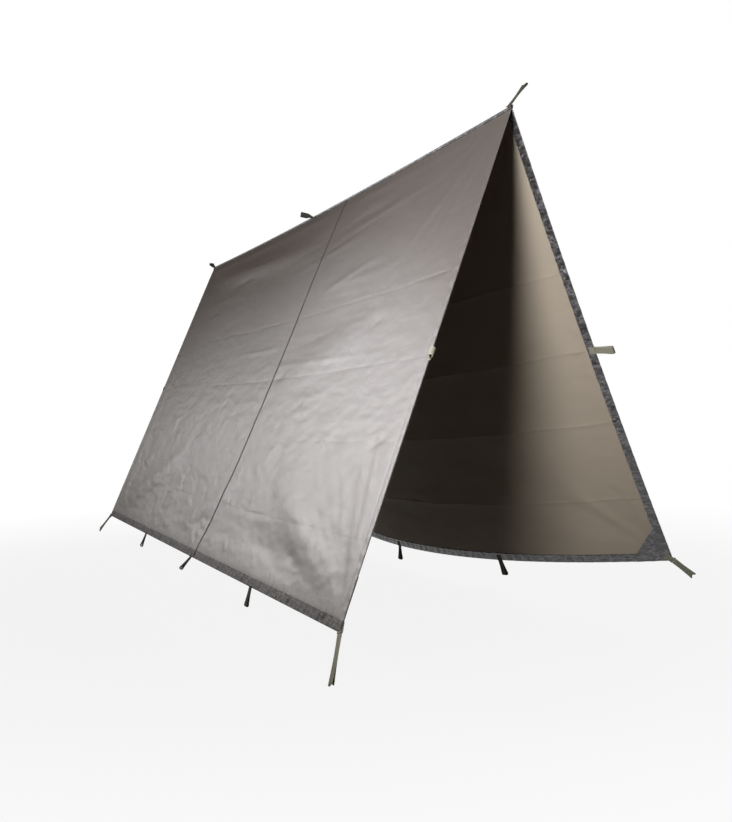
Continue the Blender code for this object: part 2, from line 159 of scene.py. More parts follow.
LEFT = Slope(
    name="left",
    side=-1,
    seed=11,
    spreads=(22.2, 24.2),
    skews=(-0.015, -0.020),
    hem_inward=0.030,
    hem_drop=0.018,
    edge_hollow=0.0,
    folds=(
        long_fold((0.95, 0.07), (0.40, 0.11), 0.006, 0.060),
        long_fold((0.40, 0.48), (0.15, 0.42), 0.004, 0.075),
        long_fold((0.01, 0.98), (0.30, 0.75), 0.005, 0.066),
        long_fold((0.01, 0.99), (0.35, 0.88), -0.004, 0.054),
        long_fold((0.98, 0.98), (0.70, 0.70), 0.005, 0.060),
        long_fold((0.62, 0.95), (0.42, 0.78), 0.004, 0.050),
    ),
    fans=LEFT_FANS,
    fan_strength=0.36,
    crease_height=0.00035,
    slack=0.9,
    drape_lines=26,
    end_gather=0.0004,
    shoulder=0.0016,
    edge_loop_sway=0.0,
    swell=0.006,
)
RIGHT = Slope(
    name="right",
    side=1,
    seed=23,
    spreads=(26.5, 26.5),
    skews=(0.125, 0.030),
    hem_inward=0.245,
    hem_drop=0.107,
    edge_hollow=0.015,
    folds=(
        long_fold((0.00, 0.49), (0.75, 0.50), -0.004, 0.045),
        long_fold((0.00, 0.67), (0.75, 0.66), -0.004, 0.045),
        long_fold((0.00, 0.84), (0.75, 0.83), -0.004, 0.045),
        long_fold((0.01, 0.98), (0.27, 0.67), 0.006, 0.055),
        long_fold((0.99, 0.98), (0.73, 0.67), 0.006, 0.055),
    ),
    fans=RIGHT_FANS,
    fan_strength=1.0,
    crease_height=0.0024,
    slack=1.1,
    drape_lines=12,
    end_gather=0.0026,
    shoulder=0.0030,
    edge_loop_sway=0.12,
    swell=0.0,
)
SLOPES = (LEFT, RIGHT)


# The pitched sheet's surface


def xyz(x, y, z):
    return np.stack(np.broadcast_arrays(x, y, z), axis=-1).astype(float)


def arch(share):
    """0 at both ends and 1 in the middle."""
    return 4.0 * share * (1.0 - share)


def between(first, second, share):
    return first * (1.0 - share) + second * share


def smooth(share):
    share = np.clip(share, 0.0, 1.0)
    return share * share * (3.0 - 2.0 * share)


def unit(vectors):
    return vectors / np.linalg.norm(vectors, axis=-1, keepdims=True)


def ridge_point(y):
    share = np.asarray(y, float) / SHEET_LENGTH
    return xyz(0.0, (SHEET_LENGTH - RIDGE_SLACK) * share, -RIDGE_SAG * arch(share))


def corner_point(slope, rear):
    spread, skew = math.radians(slope.spreads[rear]), slope.skews[rear]
    fall = math.sqrt(SLOPE_LENGTH**2 - skew**2)
    hang = xyz(slope.side * fall * math.sin(spread), skew, -fall * math.cos(spread))
    return ridge_point(SHEET_LENGTH * rear) + hang


def hem_point(slope, y):
    share = (np.asarray(y, float) / SHEET_LENGTH)[..., None]
    straight = between(corner_point(slope, False), corner_point(slope, True), share)
    return straight + xyz(-slope.side * slope.hem_inward, 0.0, -slope.hem_drop) * arch(share)


def taut_point(slope, y, d):
    y, d = np.broadcast_arrays(np.asarray(y, float), np.asarray(d, float))
    share = (d / SLOPE_LENGTH)[..., None]
    place = between(ridge_point(y), hem_point(slope, y), share)
    place[..., 1] += slope.edge_hollow * arch(d / SLOPE_LENGTH) * (1.0 - y / SHEET_LENGTH) ** 3
    return place


def tangents(slope, y, d, step=0.001):
    """Unit vectors back along the sheet, down it, and out of its outer face."""
    back = taut_point(slope, y + step, d) - taut_point(slope, y - step, d)
    down = taut_point(slope, y, d + step) - taut_point(slope, y, d - step)
    return unit(back), unit(down), unit(np.cross(back, down)) * -slope.side


def inside(value, length, inset, margin):
    """0 up to an inset from both ends of this length, rising to 1 a margin inside them."""
    return smooth((value - inset) / margin) * smooth((length - inset - value) / margin)


def inside_edges(y, d, margin):
    """0 along the hems and the ridge, rising to 1 a margin inside them."""
    return inside(y, SHEET_LENGTH, HEM_WIDTH, margin) * inside(d, SLOPE_LENGTH, HEM_WIDTH, margin)


def main_relief(slope, y, d):
    belly = -BELLY * np.sin(np.pi * y / SHEET_LENGTH) * np.sin(np.pi * d / SLOPE_LENGTH)
    folds = sum(fold.rise(y, d) for fold in slope.folds)
    return (belly + folds) * inside_edges(y, d, CALM_EDGE)


# Creases too fine for the solids

FINE_EDGE = 0.050
FACET_SHARPNESS = 0.96
DENTS = 60

PACKING_PLACES = (0.4925, 0.745, 0.990, 1.265)
PACKING_BAND = 0.010
PACKING_WANDER = 0.0022
PACKING_START, PACKING_START_FADE = 0.015, 0.05
PACKING_END, PACKING_END_FADE = 2.70, 0.60
PACKING_EDGE = 0.015
CREST_ROUND = 0.0012
CREST_SIDE = 0.0045

# Slack cloth: how slack the taut part by the ridge is, how far down it reaches, and over what it slackens
TAUT_SHARE = 0.22
TAUT_REACH = 0.45
TAUT_FADE = 0.55
# Its wrinkles: the pitches, back and down, of those that stand out and in, their roundness and their height
BROAD_WRINKLES = ((0.40, 0.13), (0.34, 0.15), 0.16, 0.0004)
SMALL_WRINKLES = ((0.170, 0.065), (0.150, 0.070), 0.22, 0.0009)
MEANDER, BEND_SPAN = 0.45, 0.8
PATCH_SPAN = 1.7
HIGHEST_CREST = 0.88
# Its mottling: pitch back, pitch down and height
MOTTLES = ((0.125, 0.045, 0.00075), (0.060, 0.026, 0.00040))

# Gathers along the hems: over the fold itself, and beyond it
FOLD_REACH, FOLD_FADE = 0.019, 0.007
CRINKLE_REACH = 0.029
HELD_SHARE = 0.15
HELD_REACH = 0.010
END_GATHER_FADE = 0.10
BOTTOM_GATHER = 0.0026
GROOVE_DEPTH = 0.0005
GROOVE_HALF = 0.0032
TAB_CALM = 0.030

# The cloth where it comes off the ridge's roll
BULGE_AT, BULGE_HALF = 0.036, 0.018
BULGE_END, BULGE_END_FADE = 0.02, 0.30
PUCKER_AT, PUCKER_HALF = 0.020, 0.016
PUCKER_HEIGHT = 0.0006
ROLL_LINE, ROLL_FADE = 0.004, 0.014


def wandering_wave(along, pitch, rng):
    """A wave of about this pitch that never quite repeats."""
    wave = np.zeros_like(along)
    for _ in range(5):
        wave += np.sin(2 * np.pi * along / (pitch * rng.uniform(0.6, 1.6)) + rng.uniform(0, 2 * np.pi))
    return wave / 3.0


def crumple(y, d, shortest, longest, heading, spread, rng, count=14):
    """Facets like those of crushed foil: straight-sided waves that run near heading, in degrees from +y."""
    total = np.zeros_like(y)
    for _ in range(count):
        pitch = rng.uniform(shortest, longest)
        turn = math.radians(heading + rng.uniform(-spread, spread))
        phase = 2 * np.pi * ((y * math.cos(turn) + d * math.sin(turn)) / pitch + rng.uniform())
        total += np.arcsin(np.sin(phase) * FACET_SHARPNESS) * pitch / longest
    return total / math.sqrt(count)


def quintic(share):
    return share**3 * (share * (6 * share - 15) + 10)


def lumps(y, d, pitch_back, pitch_down, rng):
    """Smooth noise, from about -1 to 1, whose lumps are about these sizes along and down the sheet."""
    size = (int(SHEET_LENGTH / pitch_back) + 5, int(SLOPE_LENGTH / pitch_down) + 5)
    turns = rng.uniform(0.0, 2 * np.pi, size)
    u = np.clip(y / pitch_back + 1.0, 0.0, size[0] - 1.01)
    v = np.clip(d / pitch_down + 1.0, 0.0, size[1] - 1.01)
    i, j = u.astype(int), v.astype(int)
    f, g = u - i, v - j

    def pull(a, b):
        turn = turns[i + a, j + b]
        return np.cos(turn) * (f - a) + np.sin(turn) * (g - b)

    near = between(pull(0, 0), pull(0, 1), quintic(g))
    far = between(pull(1, 0), pull(1, 1), quintic(g))
    return 1.5 * between(near, far, quintic(f))


def wrinkles(y, d, pitch_back, pitch_down, crest, rng):
    """Meandering creases: a rounded crest that rises and dies out along each line where some noise is 0."""
    bends = (pitch_back * BEND_SPAN, pitch_down * BEND_SPAN)
    bent_y = y + MEANDER * pitch_back * lumps(y, d, *bends, rng)
    bent_d = d + MEANDER * pitch_down * lumps(y, d, *bends, rng)
    lines = np.exp(-np.abs(lumps(bent_y, bent_d, pitch_back, pitch_down, rng)) / crest)
    patches = lumps(y, d, pitch_back * PATCH_SPAN, pitch_down * PATCH_SPAN, rng)
    strength = np.clip(0.25 + 1.1 * patches, 0.0, 1.0)
    return np.minimum(lines, HIGHEST_CREST) * strength


def slack_cloth(slope, y, d, rng):
    """The crumpling of cloth that hangs a little slack, which is least where the ridge pulls it taut."""
    total = np.zeros_like(y)
    for outward, inward, crest, height in (BROAD_WRINKLES, SMALL_WRINKLES):
        total += height * (wrinkles(y, d, *outward, crest, rng) - wrinkles(y, d, *inward, crest, rng))
    for pitch_back, pitch_down, height in MOTTLES:
        total += height * lumps(y, d, pitch_back, pitch_down, rng)
    return slope.slack * between(TAUT_SHARE, 1.0, smooth((d - TAUT_REACH) / TAUT_FADE)) * total


def packing_creases(slope, y, d, rng):
    """The lines along which the sheet was folded to pack it. Their crests stand in towards the inside."""
    total = np.zeros_like(y)
    for place in PACKING_PLACES:
        wander = PACKING_WANDER * wandering_wave(y, 0.50, rng)
        strength = np.clip(0.85 + 0.30 * wandering_wave(y, 0.35, rng), 0.15, 1.4)
        off_line = np.hypot(d - place - wander, CREST_ROUND) - CREST_ROUND
        total -= strength * np.exp(-off_line / CREST_SIDE)
    reach = smooth((y - PACKING_START) / PACKING_START_FADE) * smooth((PACKING_END - y) / PACKING_END_FADE)
    return slope.crease_height * reach * total


def drape_lines(slope, rng):
    """Long soft lines that run nearly level where the sheet is pulled taut between its ends."""
    lines = []
    for _ in range(slope.drape_lines):
        y = rng.uniform(0.15, 2.20)
        d = rng.uniform(0.10, 0.85)
        reach = rng.uniform(0.30, 0.95)
        slant = reach * rng.uniform(-0.05, 0.16)
        height = rng.uniform(0.0003, 0.0008) * rng.choice((-1.0, 1.0))
        width = rng.uniform(0.009, 0.018)
        lines.append(Fold((y, d), (y + reach, d + slant), height, width))
    return lines


def dents(rng):
    """Small shallow dents, most of them in the lower half."""
    marks = []
    for _ in range(DENTS):
        y = rng.uniform(0.15, SHEET_LENGTH - 0.15)
        d = SLOPE_LENGTH * rng.beta(3.4, 1.7)
        turn = rng.normal(0.15, 0.40)
        half = rng.uniform(0.040, 0.180) / 2
        over, down = half * math.cos(turn), half * math.sin(turn)
        height = rng.normal(0.0, 0.0006)
        width = rng.uniform(0.009, 0.016)
        marks.append(Fold((y - over, d - down), (y + over, d + down), height, width))
    return marks


def fans(slope, rng):
    """Creases that spread from the pulled corners and loops."""
    creases = []
    for root, first, last, count, reach in slope.fans:
        for k in range(count):
            turn = math.radians(first + (last - first) * (k + rng.uniform(0.2, 0.8)) / count)
            length = reach * rng.uniform(0.45, 1.25)
            end = (root[0] + math.cos(turn) * length, root[1] + math.sin(turn) * length)
            height = rng.uniform(0.0007, 0.0018) * rng.choice((-1.0, 1.0)) * slope.fan_strength
            width = rng.uniform(0.008, 0.015) + 0.012 * length
            creases.append(Fold(root, end, height, width))
    return creases


def gathered(distance, share, fade):
    """1 over a hem's fold, and a share on the cloth beyond. The very edge is held straight by the fold."""
    held = between(HELD_SHARE, 1.0, smooth(distance / HELD_REACH))
    over_fold = bell(np.maximum(distance - FOLD_REACH, 0.0), FOLD_FADE)
    beyond = bell(np.maximum(distance - CRINKLE_REACH, 0.0), fade)
    return held * (over_fold + share * beyond)


def calm_at_tabs(y, d):
    """0 under each tab of webbing, where the stitching holds the hem flat, and 1 elsewhere."""
    calm = np.ones_like(y)
    places = [(at, SLOPE_LENGTH) for at in HEM_LOOP_PLACES.values()]
    for end in (0.0, SHEET_LENGTH):
        places += [(end, SLOPE_LENGTH / 2), (end, SLOPE_LENGTH)]
    for at_y, at_d in places:
        calm *= smooth((np.hypot(y - at_y, d - at_d) - WEBBING_WIDTH) / TAB_CALM)
    return calm


def hem_gathers(slope, y, d, rng):
    """The gathers that sewing leaves along the hems, and the crinkles that run in from them."""
    front, rear, bottom = y, SHEET_LENGTH - y, SLOPE_LENGTH - d
    low = crumple(y, d, 0.016, 0.048, 0.0, 38.0, rng) * gathered(bottom, 0.14, 0.055)
    ends = np.zeros_like(y)
    for distance in (front, rear):
        ends += crumple(y, d, 0.018, 0.050, 90.0, 40.0, rng) * gathered(distance, 0.20, 0.045)
    waves = BOTTOM_GATHER * low + slope.end_gather * ends * smooth(d / END_GATHER_FADE)
    nearest = np.minimum(np.minimum(front, rear), bottom)
    groove = GROOVE_DEPTH * bell(nearest - STITCH_ROWS[0], GROOVE_HALF)
    return (waves - groove) * calm_at_tabs(y, d)


def ridge_shoulder(slope, y, d, rng):
    """The cloth bulges where it comes off the ridge's roll, and the roll's stitching puckers it."""
    fullness = np.clip(0.55 + 0.25 * wandering_wave(y, 0.60, rng), 0.1, 1.0)
    ends = inside(y, SHEET_LENGTH, BULGE_END, BULGE_END_FADE)
    bulge = slope.shoulder * fullness * ends * bell(d - BULGE_AT, BULGE_HALF)
    pucker = PUCKER_HEIGHT * crumple(y, d, 0.014, 0.040, 0.0, 30.0, rng) * bell(d - PUCKER_AT, PUCKER_HALF)
    return (bulge + pucker) * smooth((d - ROLL_LINE) / ROLL_FADE)


def swell(slope, y, d):
    """The slow swell of the sheet as it hangs: out below the ridge, and in above the hem."""
    back, down = np.pi * y / SHEET_LENGTH, np.pi * d / SLOPE_LENGTH
    return slope.swell * np.sin(back) * (np.sin(2 * down) + 0.25 * np.sin(4 * down))


def fine_relief(slope, y, d):
    """Every fine crease together. The order of these calls is the order of the random draws."""
    rng = np.random.default_rng(slope.seed)
    creases = drape_lines(slope, rng) + dents(rng) + fans(slope, rng)
    gathers = hem_gathers(slope, y, d, rng)
    packing = packing_creases(slope, y, d, rng)
    shoulder = ridge_shoulder(slope, y, d, rng)
    crushed = sum(crease.rise(y, d) for crease in creases) + slack_cloth(slope, y, d, rng)
    inner = crushed * inside_edges(y, d, FINE_EDGE) + packing * inside_edges(y, d, PACKING_EDGE)
    return inner + gathers + shoulder + swell(slope, y, d)


# Materials


def put(tree, socket, value):
    """Gives an input its value: another node's output, a colour without its alpha, or a plain value."""
    if isinstance(value, bpy.types.NodeSocket):
        tree.links.new(value, socket)
    else:
        socket.default_value = (*value, 1.0) if socket.type == "RGBA" else value


def add_node(tree, kind, *values, **settings):
    """A node with its settings, which may name inputs too, and with values for its inputs in order."""
    node = tree.nodes.new(kind)
    for key, value in settings.items():
        if key in node.inputs:
            put(tree, node.inputs[key], value)
        else:
            setattr(node, key, value)
    for socket, value in zip(node.inputs, values):
        put(tree, socket, value)
    return node


def new_material(name, colour, roughness, specular):
    made = bpy.data.materials.new(name)
    made.use_nodes = True
    tree = made.node_tree
    shader = tree.nodes["Principled BSDF"]
    for key, value in (("Base Color", colour), ("Roughness", roughness), ("Specular IOR Level", specular)):
        put(tree, shader.inputs[key], value)
    return made, tree, shader


def calculate(tree, operation, *values):
    """A Math node over numbers and other nodes' outputs."""
    return add_node(tree, "ShaderNodeMath", *values, operation=operation).outputs["Value"]


def blended(tree, factor, first, second):
    """A colour between two, each a colour or another node's output."""
    mix = add_node(tree, "ShaderNodeMix", data_type="RGBA", Factor=factor, A=first, B=second)
    return mix.outputs["Result"]


def eased(tree, value, start, end, least=0.0, most=1.0):
    """A value that rises smoothly from least to most, as another goes from start to end."""
    values = (value, start, end, least, most)
    node = add_node(tree, "ShaderNodeMapRange", *values, interpolation_type="SMOOTHSTEP")
    return node.outputs["Result"]


def noise(tree, place, scale, detail=6.0, roughness=0.6, distortion=0.0):
    settings = {"Scale": scale, "Detail": detail, "Roughness": roughness, "Distortion": distortion}
    return add_node(tree, "ShaderNodeTexNoise", Vector=place, **settings).outputs["Fac"]


def drawn_out(tree, place, turn, squeeze):
    """Places turned about z and squeezed along x, so that what lies on them is drawn out that way."""
    turned, scale = (0.0, 0.0, math.radians(turn)), (squeeze, 1.0, 1.0)
    return add_node(tree, "ShaderNodeMapping", Vector=place, Rotation=turned, Scale=scale).outputs["Vector"]


def threads(tree, place, pitch):
    """The grid of a plain weave, with this pitch in metres. At scale 1 a wave turns 20 radians in a metre."""
    settings = {"Vector": place, "Scale": 2 * math.pi / (20.0 * pitch), "Distortion": 0.3}
    waves = [add_node(tree, "ShaderNodeTexWave", bands_direction=way, **settings) for way in ("X", "Y")]
    return calculate(tree, "MAXIMUM", *(wave.outputs["Fac"] for wave in waves))


def add_bumps(tree, shader, *layers):
    """Bumps one on another, each a height and the depth in metres that it spans."""
    below = {}
    for height, depth in layers:
        bump = add_node(tree, "ShaderNodeBump", Strength=1.0, Distance=depth, Height=height, **below)
        below = {"Normal": bump.outputs["Normal"]}
    put(tree, shader.inputs["Normal"], below["Normal"])


# How the cloth is woven and sewn, and how the webbing is: pitches, and the depths of their bumps
RIPSTOP_PITCH, RIPSTOP_DEPTH = 0.0055, 0.00006
WEAVE_PITCH, WEAVE_DEPTH = 0.0011, 0.00004
STITCH_DEPTH = 0.0003
STITCH_BREAK = -0.45
COARSE_CRINKLE = 2.5
RIB_PITCH, RIB_DEPTH = 0.0014, 0.00035
FIBRE_DEPTH = 0.00015
STRAND_DEPTH = 0.0001
WORN_EDGE, WORN_SHARE = 0.0013, 0.45


def flat_places(tree):
    """The place on a flat piece of cloth or webbing, and its two measures."""
    flat = add_node(tree, "ShaderNodeUVMap", uv_map="sheet").outputs["UV"]
    split = add_node(tree, "ShaderNodeSeparateXYZ", flat).outputs
    return flat, split["X"], split["Y"]


def stitching(tree, y, d):
    """1 on the threads of the rows that hold the hems down."""
    ends = calculate(tree, "MINIMUM", y, calculate(tree, "SUBTRACT", SHEET_LENGTH, y))
    edge = calculate(tree, "MINIMUM", ends, calculate(tree, "SUBTRACT", SLOPE_LENGTH, d))
    along = calculate(tree, "ADD", y, d)
    rows = [calculate(tree, "COMPARE", edge, row, THREAD_HALF) for row in STITCH_ROWS]
    turns = calculate(tree, "SINE", calculate(tree, "MULTIPLY", along, 2 * math.pi / STITCH_PITCH))
    dashes = calculate(tree, "GREATER_THAN", turns, STITCH_BREAK)
    return calculate(tree, "MULTIPLY", calculate(tree, "MAXIMUM", *rows), dashes)


def cloth_material(name, dark, light, roughness, specular, crinkle, thread=None):
    """Coated cloth: a fine weave with a faint ripstop grid, small crinkles and stitching.

    With a colour of thread, the cloth's colour drifts. With none it is streaked dark and light, with painted
    glints and painted shade of a crushed shiny coating.
    """
    made, tree, shader = new_material(name, light, roughness, specular)
    sheet, y, d = flat_places(tree)
    stitches = stitching(tree, y, d)
    if thread:
        colour = blended(tree, stitches, blended(tree, noise(tree, sheet, 2.2), dark, light), thread)
    else:
        # painted glints and painted shade of crushed coating, drawn out as streaks
        painted_crumple_shading = noise(tree, drawn_out(tree, sheet, 38.0, 0.36), 100.0, 2.5, 0.60, 1.2)
        colour = blended(tree, eased(tree, painted_crumple_shading, 0.42, 0.74), dark, light)
    put(tree, shader.inputs["Base Color"], colour)
    taut = drawn_out(tree, sheet, 6.0, 0.40)
    add_bumps(
        tree,
        shader,
        (noise(tree, taut, 14.0, 4.0, 0.55, 0.6), crinkle * COARSE_CRINKLE),
        (noise(tree, taut, 52.0, 4.0, 0.60, 0.8), crinkle),
        (threads(tree, sheet, RIPSTOP_PITCH), RIPSTOP_DEPTH),
        (threads(tree, sheet, WEAVE_PITCH), WEAVE_DEPTH),
        (stitches, STITCH_DEPTH),
    )
    return made


def webbing_material(name, dark, light):
    """Flat webbing: ribs across it, close rows along it, and dusty edges."""
    made, tree, shader = new_material(name, light, 0.86, 0.3)
    strap, _, across = flat_places(tree)
    colour = blended(tree, noise(tree, strap, 120.0, 3.0), dark, light)
    off_middle = calculate(tree, "ABSOLUTE", calculate(tree, "SUBTRACT", across, WEBBING_WIDTH / 2))
    at_edge = calculate(tree, "GREATER_THAN", off_middle, WEBBING_WIDTH / 2 - WORN_EDGE)
    worn = calculate(tree, "MULTIPLY", at_edge, WORN_SHARE)
    dusty = tuple(min(1.0, 1.5 * channel + 0.02) for channel in light)
    put(tree, shader.inputs["Base Color"], blended(tree, worn, colour, dusty))
    ribs = threads(tree, strap, RIB_PITCH)
    add_bumps(tree, shader, (ribs, RIB_DEPTH), (noise(tree, strap, 900.0, 2.0), FIBRE_DEPTH))
    return made


def thread_material():
    made, tree, shader = new_material("thread", (0.20, 0.19, 0.17), 0.6, 0.4)
    strands = add_node(tree, "ShaderNodeTexCoord").outputs["Object"]
    colour = blended(tree, noise(tree, strands, 700.0, 2.0), (0.15, 0.14, 0.125), (0.25, 0.24, 0.21))
    put(tree, shader.inputs["Base Color"], colour)
    add_bumps(tree, shader, (noise(tree, strands, 2400.0, 2.0), STRAND_DEPTH))
    return made


# Each cloth's darker and lighter colour, roughness, specular level, crinkle and thread
PALE_THREAD = (0.150, 0.140, 0.130)
DULL_THREAD = (0.110, 0.095, 0.080)
OUTER = cloth_material(
    "outer_cloth", (0.086, 0.075, 0.069), (0.107, 0.094, 0.087), 0.42, 1.0, 0.00028, PALE_THREAD
)
# The outer face along the bottom hem: darker as painted shade of the hem that faces down, streaked with
# painted glints
OUTER_HEM = cloth_material("outer_hem", (0.030, 0.026, 0.025), (0.150, 0.138, 0.130), 0.56, 0.4, 0.00080)
INNER = cloth_material(
    "inner_coating", (0.240, 0.205, 0.162), (0.268, 0.232, 0.188), 0.60, 0.06, 0.00030, DULL_THREAD
)
# The turned-in hems, corner patches and ridge roll: streaked dark and light, as painted glints and painted
# shade of crushed coating
HEM = cloth_material("hem_cloth", (0.017, 0.015, 0.016), (0.135, 0.132, 0.140), 0.36, 0.7, 0.00060)
# The seam's fold: its colour, darker than the cloth's, is painted shade along the fold's edge
SEAM = cloth_material(
    "seam_fold", (0.045, 0.040, 0.038), (0.068, 0.062, 0.058), 0.58, 0.4, 0.00030, PALE_THREAD
)
PALE_STRAP = webbing_material("webbing_pale", (0.22, 0.22, 0.165), (0.36, 0.36, 0.285))
# The same webbing as the pale one, darker as painted shade for the right side
SHADED_STRAP = webbing_material("webbing_painted_shade", (0.130, 0.128, 0.095), (0.230, 0.228, 0.178))
# Dark webbing for the hem loops and the ridge; on the ridge's front loop and tab its darkness is painted
# shade
DARK_STRAP = webbing_material("webbing_dark", (0.040, 0.044, 0.034), (0.072, 0.078, 0.060))
THREAD = thread_material()


# Cloth meshes

BACK_STEP = 0.0078
DOWN_STEP = 0.0066
CREASE_STEP = 0.0025
ROLL_STEP = 0.004
ROLL_ZONE = 0.064
HEM_STEP = 0.003
BY_HEM_STEP = 0.006
END_ZONE = 0.072
HEM_ZONE = 0.036
PATCH_GAPS = 2.5
WHISKER = 0.001


def add_object(name, data):
    made = bpy.data.objects.new(name, data)
    bpy.context.scene.collection.objects.link(made)
    return made


def evenly(start, end, largest_step):
    return np.linspace(start, end, max(1, round(abs(end - start) / largest_step)) + 1)


def graded(start, end, step, spans):
    """Places from start to end, step apart, and closer inside the spans, each given as low, high and step."""
    places = [start]
    for low, high, close_step in spans:
        places.extend(evenly(places[-1], low, step)[1:] if low > places[-1] else ())
        places.extend(evenly(places[-1], high, close_step)[1:])
    places.extend(evenly(places[-1], end, step)[1:] if end > places[-1] else ())
    return np.array(places)


def cloth_columns():
    rear_hem = SHEET_LENGTH - HEM_WIDTH
    spans = (
        (0.0, HEM_WIDTH, HEM_STEP),
        (HEM_WIDTH, END_ZONE, BY_HEM_STEP),
        (SHEET_LENGTH - END_ZONE, rear_hem, BY_HEM_STEP),
        (rear_hem, SHEET_LENGTH, HEM_STEP),
    )
    return graded(0.0, SHEET_LENGTH, BACK_STEP, spans)


def cloth_rows():
    top, hem = RIDGE_ROLL_RADIUS - WHISKER, SLOPE_LENGTH - HEM_WIDTH
    creases = [(place - PACKING_BAND, place + PACKING_BAND, CREASE_STEP) for place in PACKING_PLACES]
    at_hem = [(hem - HEM_ZONE, hem, BY_HEM_STEP), (hem, SLOPE_LENGTH, HEM_STEP)]
    return graded(top, SLOPE_LENGTH, DOWN_STEP, [(top, ROLL_ZONE, ROLL_STEP)] + creases + at_hem)


def within(places, low, high):
    """The places from low to high, whatever the last digits say."""
    return places[(places > low - 1e-6) & (places < high + 1e-6)]


def grid(columns, rows):
    return np.meshgrid(columns, rows, indexing="ij")


def shell_faces(cells, count):
    """The cells, the same cells turned over on the points count further on, and a rim between them."""
    edges = np.concatenate([cells[:, (k, (k + 1) % 4)] for k in range(4)])
    _, first, shared = np.unique(np.sort(edges, axis=1), axis=0, return_index=True, return_counts=True)
    start, end = edges[first[shared == 1]].T
    rim = np.stack((end, start, start + count, end + count), axis=1)
    return np.concatenate((cells, cells[:, ::-1] + count, rim))


def cloth_piece(name, slope, y, d, depth, thickness, materials, keep=None):
    """A closed piece of cloth over a grid of (y, d), depth inside the sheet's outer face. keep chooses cells.

    The materials are those of its outer face, its inner face and, where a third is given, of its outer face
    within the bottom hem.
    """
    lift = main_relief(slope, y, d) + fine_relief(slope, y, d)
    taut, outward = taut_point(slope, y, d), tangents(slope, y, d)[2]
    sides = [taut + outward * (lift - at)[..., None] for at in (depth, depth + thickness)]
    points = np.concatenate(sides).reshape(-1, 3)
    number = np.arange(y.size).reshape(y.shape)
    kept = np.ones((y.shape[0] - 1, y.shape[1] - 1), bool) if keep is None else keep
    corners = (number[:-1, :-1], number[1:, :-1], number[1:, 1:], number[:-1, 1:])
    cells = np.stack([corner[kept] for corner in corners], axis=1)
    if slope.side > 0:
        cells = cells[:, ::-1]
    faces = shell_faces(cells, y.size)
    used, renumbered = np.unique(faces, return_inverse=True)
    mesh = bpy.data.meshes.new(name)
    mesh.from_pydata(points[used].tolist(), [], renumbered.reshape(faces.shape).tolist())
    flat = np.tile(np.stack((y, d), axis=-1).reshape(-1, 2), (2, 1))[used]
    on_corners = np.empty(len(mesh.loops), int)
    mesh.loops.foreach_get("vertex_index", on_corners)
    mesh.uv_layers.new(name="sheet").data.foreach_set("uv", flat[on_corners].ravel())
    for material in materials:
        mesh.materials.append(material)
    slots = np.zeros(len(faces), int)
    slots[len(cells) : 2 * len(cells)] = 1
    if len(materials) > 2:
        # the outer face within the bottom hem takes the third material, whose darker colour is painted shade
        low_enough = ((d[:-1, :-1] + d[1:, 1:]) / 2)[kept] > SLOPE_LENGTH - HEM_WIDTH
        slots[: len(cells)][low_enough] = 2
    mesh.polygons.foreach_set("material_index", slots)
    mesh.polygons.foreach_set("use_smooth", np.arange(len(faces)) < 2 * len(cells))
    mesh.validate()
    mesh.update()
    return add_object(name, mesh)


def bend_at_ridge(piece, slope):
    """Bakes the piece's placement into its mesh. The way down the slope is worked out here but not used."""
    corners = corner_point(slope, False) + corner_point(slope, True)
    down = Vector(unit(corners - ridge_point(0.0) - ridge_point(SHEET_LENGTH)))
    down.y = 0.0
    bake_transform(piece)


def add_cloth(slope):
    """The whole slope, as one sheet on both sides of its seam."""
    y, d = grid(cloth_columns(), cloth_rows())
    cloth = cloth_piece(f"{slope.name}_cloth", slope, y, d, 0.0, FABRIC, (OUTER, INNER, OUTER_HEM))
    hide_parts(f"{slope.name}_front_panel", f"{slope.name}_rear_panel")
    bend_at_ridge(cloth, slope)
    return cloth


def add_hem_strips(slope):
    """The edges, turned in and sewn down inside. They share the cloth's grid, so they lie on it evenly."""
    strips = []
    columns, rows, hem = cloth_columns(), cloth_rows(), SLOPE_LENGTH - HEM_WIDTH
    above_hem = within(rows, RIDGE_ROLL_RADIUS, hem)
    for end, across, down in (
        ("bottom", columns, within(rows, hem, SLOPE_LENGTH)),
        ("front", within(columns, 0.0, HEM_WIDTH), above_hem),
        ("rear", within(columns, SHEET_LENGTH - HEM_WIDTH, SHEET_LENGTH), above_hem),
    ):
        y, d = grid(across, down)
        name = f"{slope.name}_{end}_hem_cloth"
        strip = cloth_piece(name, slope, y, d, FABRIC + GAP, HEM_FOLD, (HEM, HEM))
        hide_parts(f"{slope.name}_{end}_hem")
        if end == "bottom":
            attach(strip, f"{slope.name}_slope")
        else:
            bend_at_ridge(strip, slope)
        strips.append(strip)
    return strips


def add_patches(slope):
    """The doubled corners, cut off along a slanting edge."""
    patches = []
    depth = FABRIC + HEM_FOLD + PATCH_GAPS * GAP
    limit = PATCH_LEG + HEM_WIDTH
    rows = within(cloth_rows(), SLOPE_LENGTH - limit, SLOPE_LENGTH)
    for end, corner_y, inward in (("front", 0.0, 1), ("rear", SHEET_LENGTH, -1)):
        near, far = sorted((corner_y, corner_y + inward * limit))
        y, d = grid(within(cloth_columns(), near, far), rows)
        reach = inward * (y - corner_y) + SLOPE_LENGTH - d
        corners = np.stack((reach[:-1, :-1], reach[1:, :-1], reach[:-1, 1:], reach[1:, 1:]))
        keep = corners.min(axis=0) < limit - WHISKER
        excess = np.maximum(reach - limit, 0.0) / 2
        y, d = y - inward * excess, d + excess
        name = f"{slope.name}_{end}_patch_cloth"
        patch = cloth_piece(name, slope, y, d, depth, PATCH_FABRIC, (HEM, HEM), keep)
        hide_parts(f"{slope.name}_{end}_corner_patch")
        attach(patch, f"{slope.name}_slope")
        patches.append(patch)
    return patches


